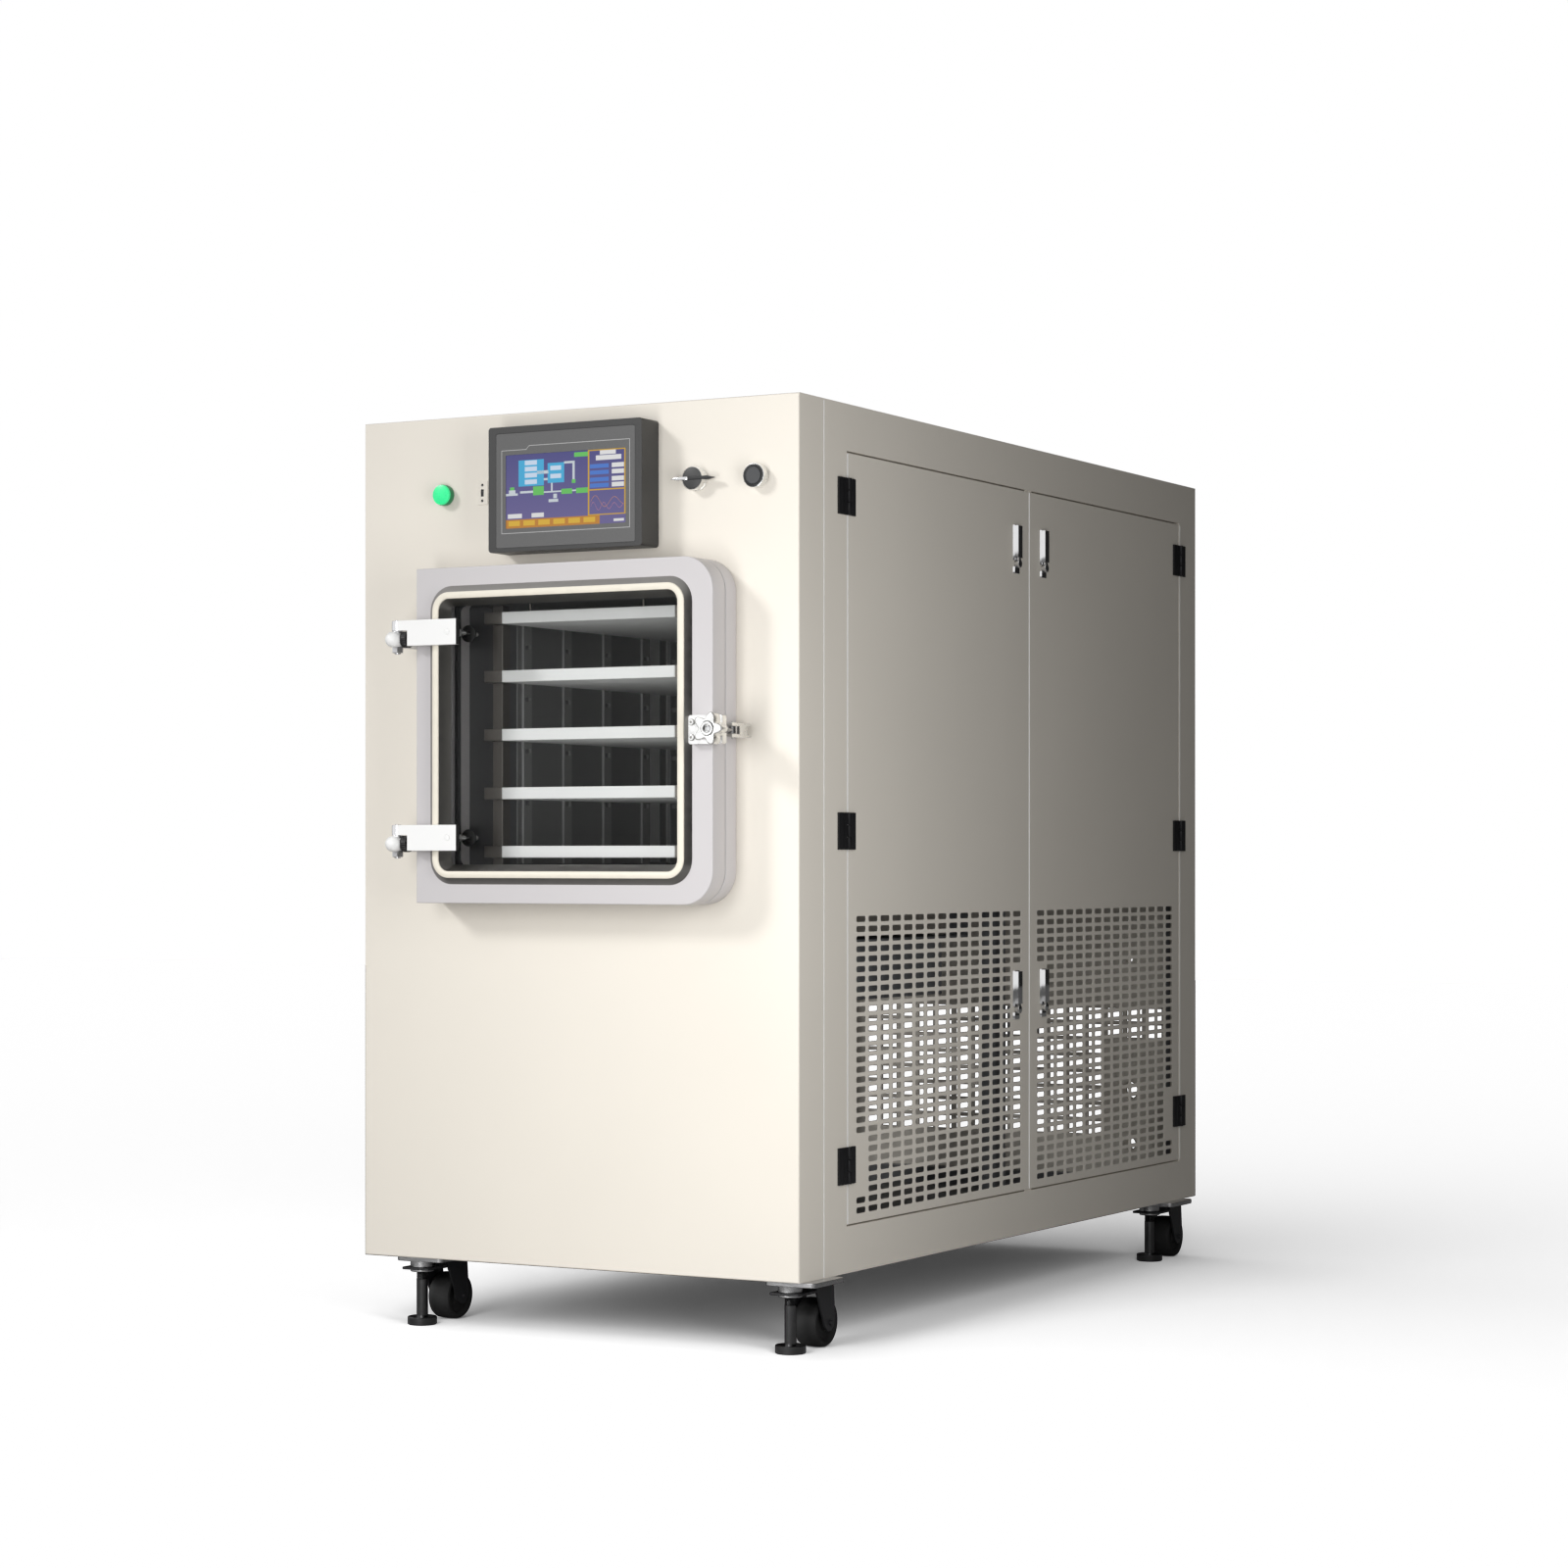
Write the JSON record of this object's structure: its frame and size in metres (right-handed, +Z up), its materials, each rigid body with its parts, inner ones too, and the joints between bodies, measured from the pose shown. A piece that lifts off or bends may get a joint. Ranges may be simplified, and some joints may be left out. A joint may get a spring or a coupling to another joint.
{
  "type": "freeze dryer",
  "caption": "Floor-standing freeze dryer with a clamped window door over a shelf chamber, a touch panel, perforated service doors and levelling casters.",
  "frame": {"origin": "centre of the footprint on the floor", "axes": "+X to the cabinet's right, +Y to its back, +Z up; the chamber door faces -Y"},
  "size_m": [0.789, 1.643, 1.398],
  "materials": {
    "cream_paint": "satin cream powder coat",
    "lilac_paint": "satin pale lilac-grey paint",
    "grey_paint": "satin grey paint",
    "dark_paint": "satin near-black paint",
    "white_paint": "satin white paint",
    "steel": "brushed stainless steel",
    "dark_steel": "brushed steel, darker",
    "chrome": "polished chrome",
    "aluminium": "plain aluminium",
    "black_rubber": "matte black rubber",
    "cream_seal": "cream elastomer",
    "black_plastic": "matte black plastic",
    "grey_plastic": "matte dark grey plastic",
    "green_lens": "translucent green lens",
    "screen_glass": "display glass",
    "clear_pane": "clear pane"
  },
  "bodies": {
    "cabinet": {"frame": "grey_paint", "front_panel": "cream_paint", "top_panel": "cream_paint", "left_side_panel": "cream_paint", "rear_panel": "cream_paint", "right_side_surround": "cream_paint", "base_plate": "grey_paint", "chamber_flange": "lilac_paint", "drying_chamber": "steel", "shelf_stack": "white_paint", "shelf_posts": "dark_steel", "chamber_shields": "steel", "door_hinge_posts": "steel", "clamp_clevis": "steel", "touch_panel_housing": "grey_plastic", "touch_panel_screen": "screen_glass", "power_lamp": "green_lens", "switch_bezels": "chrome", "side_hinge_leaves": "black_plastic", "cold_trap": "steel", "compressor": "dark_paint", "vacuum_pump": "dark_paint", "air_condenser": "aluminium", "electrical_box": "cream_paint", "caster_plates": "steel"},
    "chamber_door": {"door_frame": "lilac_paint", "door_gasket": "black_rubber", "window_bezel": "dark_steel", "window_seal": "cream_seal", "window_pane": "clear_pane", "hinge_strap_upper": "white_paint", "hinge_strap_lower": "white_paint", "strap_bolts": "steel", "clamp_ear": "steel"},
    "swing_bolt": {"swing_bolt": "steel"},
    "star_knob": {"star_knob": "steel"},
    "selector": {"selector_knob": "black_plastic"},
    "push_button": {"push_button_cap": "black_plastic"},
    "side_door_front": {"side_door_front": "cream_paint", "side_door_fittings_front": "black_plastic"},
    "side_door_rear": {"side_door_rear": "cream_paint", "side_door_fittings_rear": "black_plastic"},
    "fan": {"condenser_fan": "black_plastic"},
    "latch_lever_front_upper": {"latch_lever_front_upper": "chrome"},
    "latch_lever_front_lower": {"latch_lever_front_lower": "chrome"},
    "latch_lever_rear_upper": {"latch_lever_rear_upper": "chrome"},
    "latch_lever_rear_lower": {"latch_lever_rear_lower": "chrome"},
    "caster_fork_front_left": {"caster_fork_front_left": "dark_paint"},
    "caster_wheel_front_left": {"caster_wheel_front_left": "black_rubber"},
    "caster_foot_front_left": {"caster_foot_front_left": "black_rubber"},
    "caster_fork_front_right": {"caster_fork_front_right": "dark_paint"},
    "caster_wheel_front_right": {"caster_wheel_front_right": "black_rubber"},
    "caster_foot_front_right": {"caster_foot_front_right": "black_rubber"},
    "caster_fork_rear_left": {"caster_fork_rear_left": "dark_paint"},
    "caster_wheel_rear_left": {"caster_wheel_rear_left": "black_rubber"},
    "caster_foot_rear_left": {"caster_foot_rear_left": "black_rubber"},
    "caster_fork_rear_right": {"caster_fork_rear_right": "dark_paint"},
    "caster_wheel_rear_right": {"caster_wheel_rear_right": "black_rubber"},
    "caster_foot_rear_right": {"caster_foot_rear_right": "black_rubber"}
  },
  "joints": [
    {"name": "chamber_door", "type": "hinge", "parent": "cabinet", "child": "chamber_door", "pos_m": [-0.2765, -0.7815, 0.9093], "axis": [0, 0, -1], "range_deg": [0, 120]},
    {"name": "swing_bolt", "type": "hinge", "parent": "cabinet", "child": "swing_bolt", "pos_m": [0.2895, -0.7475, 0.9093], "axis": [0, 0, 1], "range_deg": [0, 90]},
    {"name": "star_knob", "type": "hinge", "parent": "swing_bolt", "child": "star_knob", "pos_m": [0.2895, -0.8035, 0.9093], "axis": [0, 1, 0], "continuous": true},
    {"name": "selector", "type": "hinge", "parent": "cabinet", "child": "selector", "pos_m": [0.2055, -0.7195, 1.281], "axis": [0, 1, 0], "range_deg": [0, 90]},
    {"name": "push_button", "type": "slide", "parent": "cabinet", "child": "push_button", "axis": [0, 1, 0], "range_m": [0, 0.004], "stiffness_N_per_m": 400},
    {"name": "side_door_front", "type": "hinge", "parent": "cabinet", "child": "side_door_front", "pos_m": [0.3795, -0.5567, 0.75275], "axis": [0, 0, -1], "range_deg": [0, 110]},
    {"name": "side_door_rear", "type": "hinge", "parent": "cabinet", "child": "side_door_rear", "pos_m": [0.3795, 0.7199, 0.75275], "axis": [0, 0, 1], "range_deg": [0, 110]},
    {"name": "condenser_fan", "type": "hinge", "parent": "cabinet", "child": "fan", "pos_m": [-0.2945, 0.4365, 0.308], "axis": [1, 0, 0], "continuous": true},
    {"name": "latch_lever_front_upper", "type": "hinge", "parent": "side_door_front", "child": "latch_lever_front_upper", "pos_m": [0.3775, 0.0292, 1.204], "axis": [1, 0, 0], "range_deg": [0, 90]},
    {"name": "latch_lever_front_lower", "type": "hinge", "parent": "side_door_front", "child": "latch_lever_front_lower", "pos_m": [0.3775, 0.0292, 0.4775], "axis": [1, 0, 0], "range_deg": [0, 90]},
    {"name": "latch_lever_rear_upper", "type": "hinge", "parent": "side_door_rear", "child": "latch_lever_rear_upper", "pos_m": [0.3775, 0.1332, 1.204], "axis": [-1, 0, 0], "range_deg": [0, 90]},
    {"name": "latch_lever_rear_lower", "type": "hinge", "parent": "side_door_rear", "child": "latch_lever_rear_lower", "pos_m": [0.3775, 0.1332, 0.4775], "axis": [-1, 0, 0], "range_deg": [0, 90]},
    {"name": "caster_swivel_front_left", "type": "hinge", "parent": "cabinet", "child": "caster_fork_front_left", "pos_m": [-0.3175, -0.6585, 0.088], "axis": [0, 0, 1], "continuous": true},
    {"name": "caster_wheel_front_left", "type": "hinge", "parent": "caster_fork_front_left", "child": "caster_wheel_front_left", "pos_m": [-0.3175, -0.5815, 0.037], "axis": [1, 0, 0], "continuous": true},
    {"name": "caster_foot_front_left", "type": "slide", "parent": "cabinet", "child": "caster_foot_front_left", "axis": [0, 0, 1], "range_m": [0, 0.008]},
    {"name": "caster_swivel_front_right", "type": "hinge", "parent": "cabinet", "child": "caster_fork_front_right", "pos_m": [0.3365, -0.6585, 0.088], "axis": [0, 0, 1], "continuous": true},
    {"name": "caster_wheel_front_right", "type": "hinge", "parent": "caster_fork_front_right", "child": "caster_wheel_front_right", "pos_m": [0.3365, -0.5815, 0.037], "axis": [1, 0, 0], "continuous": true},
    {"name": "caster_foot_front_right", "type": "slide", "parent": "cabinet", "child": "caster_foot_front_right", "axis": [0, 0, 1], "range_m": [0, 0.008]},
    {"name": "caster_swivel_rear_left", "type": "hinge", "parent": "cabinet", "child": "caster_fork_rear_left", "pos_m": [-0.3175, 0.6765, 0.088], "axis": [0, 0, 1], "continuous": true},
    {"name": "caster_wheel_rear_left", "type": "hinge", "parent": "caster_fork_rear_left", "child": "caster_wheel_rear_left", "pos_m": [-0.3175, 0.7535, 0.037], "axis": [1, 0, 0], "continuous": true},
    {"name": "caster_foot_rear_left", "type": "slide", "parent": "cabinet", "child": "caster_foot_rear_left", "axis": [0, 0, 1], "range_m": [0, 0.008]},
    {"name": "caster_swivel_rear_right", "type": "hinge", "parent": "cabinet", "child": "caster_fork_rear_right", "pos_m": [0.3365, 0.6765, 0.088], "axis": [0, 0, 1], "continuous": true},
    {"name": "caster_wheel_rear_right", "type": "hinge", "parent": "caster_fork_rear_right", "child": "caster_wheel_rear_right", "pos_m": [0.3365, 0.7535, 0.037], "axis": [1, 0, 0], "continuous": true},
    {"name": "caster_foot_rear_right", "type": "slide", "parent": "cabinet", "child": "caster_foot_rear_right", "axis": [0, 0, 1], "range_m": [0, 0.008]}
  ]
}
